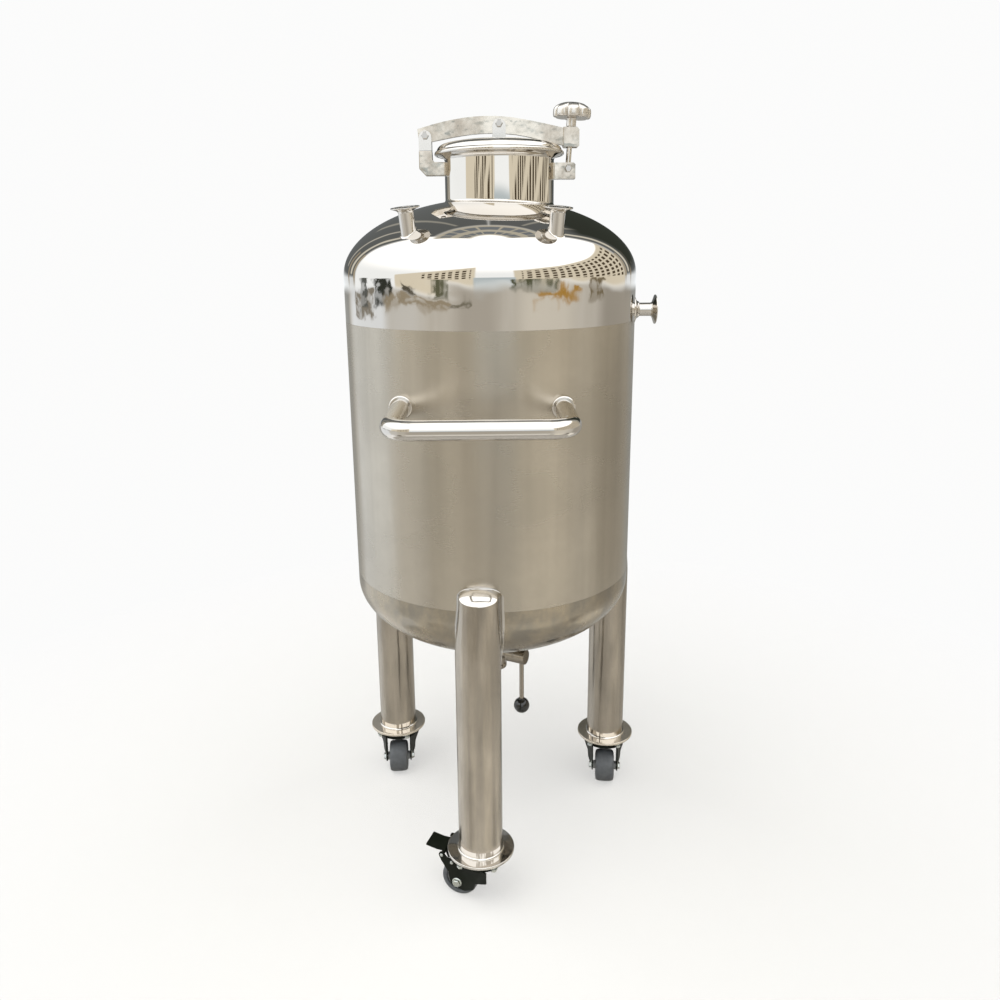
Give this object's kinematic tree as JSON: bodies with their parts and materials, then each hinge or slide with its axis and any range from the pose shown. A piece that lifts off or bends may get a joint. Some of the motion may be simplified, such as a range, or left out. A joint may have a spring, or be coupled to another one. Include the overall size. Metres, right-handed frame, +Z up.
{
  "type": "vertical storage tank",
  "caption": "Stainless vertical storage tank on three caster legs, with a clamped manway lid, push handle, top and side ferrules and a lever valve underneath.",
  "frame": {"origin": "middle of the footprint box at floor level", "axes": "+Z up along the tank, +X towards the side nozzle, -Y towards the push handle and the front leg"},
  "size_m": [0.5594, 0.6564, 1.3234],
  "materials": {
    "mirror_polished_steel": "mirror polished stainless steel",
    "satin_steel": "satin stainless steel",
    "brushed_steel": "brushed stainless steel, warm grey",
    "zinc_plated_steel": "bright zinc plate",
    "black_paint": "black paint, half gloss",
    "grey_tyre": "grey thermoplastic rubber",
    "black_ball": "black, glossy",
    "silicone_seal": "pale silicone"
  },
  "bodies": {
    "tank": {"shell": "brushed_steel", "top_head": "mirror_polished_steel", "bottom_head": "satin_steel", "ferrule_left": "mirror_polished_steel", "ferrule_right": "mirror_polished_steel", "side_nozzle": "mirror_polished_steel", "manway_neck": "mirror_polished_steel", "lid_seal": "silicone_seal", "lid": "mirror_polished_steel", "lid_bracket": "satin_steel", "clamp_arm": "satin_steel", "hinge_lug": "satin_steel", "hinge_clevis": "satin_steel", "hinge_pin": "mirror_polished_steel", "centre_pin": "mirror_polished_steel", "bolt_lug": "satin_steel", "bolt_pin": "mirror_polished_steel", "handle": "mirror_polished_steel", "outlet_stub": "satin_steel", "valve_body": "satin_steel", "leg_front": "brushed_steel", "leg_cap_front": "mirror_polished_steel", "leg_pad_front": "brushed_steel", "foot_flange_front": "mirror_polished_steel", "caster_plate_front": "zinc_plated_steel", "leg_left": "brushed_steel", "leg_cap_left": "mirror_polished_steel", "leg_pad_left": "brushed_steel", "foot_flange_left": "mirror_polished_steel", "caster_plate_left": "zinc_plated_steel", "leg_right": "brushed_steel", "leg_cap_right": "mirror_polished_steel", "leg_pad_right": "brushed_steel", "foot_flange_right": "mirror_polished_steel", "caster_plate_right": "zinc_plated_steel"},
    "bolt": {"swing_bolt": "mirror_polished_steel"},
    "knob": {"clamp_knob": "mirror_polished_steel"},
    "valve_lever": {"valve_hub": "satin_steel", "valve_disc": "satin_steel", "lever_rod": "satin_steel", "lever_ball": "black_ball"},
    "fork_front": {"caster_fork_front": "black_paint", "caster_axle_front": "zinc_plated_steel"},
    "roller_front": {"wheel_front": "grey_tyre"},
    "pedal": {"brake_pedal": "black_paint"},
    "fork_left": {"caster_fork_left": "black_paint", "caster_axle_left": "zinc_plated_steel"},
    "roller_left": {"wheel_left": "grey_tyre"},
    "fork_right": {"caster_fork_right": "black_paint", "caster_axle_right": "zinc_plated_steel"},
    "roller_right": {"wheel_right": "grey_tyre"}
  },
  "joints": [
    {"name": "swing_bolt_hinge", "type": "hinge", "parent": "tank", "child": "bolt", "pos_m": [0.11969, 0.07825, 1.2195], "axis": [0, 1, 0], "range_deg": [0, 100]},
    {"name": "knob_spin", "type": "hinge", "parent": "bolt", "child": "knob", "pos_m": [0.11969, 0.07825, 1.2195], "axis": [0.0698, 0, 0.9976], "continuous": true},
    {"name": "valve_lever_turn", "type": "hinge", "parent": "tank", "child": "valve_lever", "pos_m": [-0.01281, 0.07825, 0.336], "axis": [0.891, -0.454, 0], "range_deg": [0, 90]},
    {"name": "caster_swivel_front", "type": "hinge", "parent": "tank", "child": "fork_front", "pos_m": [-0.03852, -0.17847, 0.0832], "axis": [0, 0, 1], "continuous": true},
    {"name": "wheel_spin_front", "type": "hinge", "parent": "fork_front", "child": "roller_front", "pos_m": [-0.07141, -0.16649, 0.0325], "axis": [-0.342, -0.9397, 0], "continuous": true},
    {"name": "brake_pedal_press", "type": "hinge", "parent": "fork_front", "child": "pedal", "pos_m": [-0.09725, -0.15709, 0.0805], "axis": [-0.342, -0.9397, 0], "range_deg": [0, 10]},
    {"name": "caster_swivel_left", "type": "hinge", "parent": "tank", "child": "fork_left", "pos_m": [-0.22233, 0.2288, 0.0832], "axis": [0, 0, 1], "continuous": true},
    {"name": "wheel_spin_left", "type": "hinge", "parent": "fork_left", "child": "roller_left", "pos_m": [-0.21989, 0.19389, 0.0325], "axis": [0.9976, 0.0698, 0], "continuous": true},
    {"name": "caster_swivel_right", "type": "hinge", "parent": "tank", "child": "fork_right", "pos_m": [0.22233, 0.18442, 0.0832], "axis": [0, 0, 1], "continuous": true},
    {"name": "wheel_spin_right", "type": "hinge", "parent": "fork_right", "child": "roller_right", "pos_m": [0.21867, 0.14961, 0.0325], "axis": [0.9945, -0.1045, 0], "continuous": true}
  ]
}
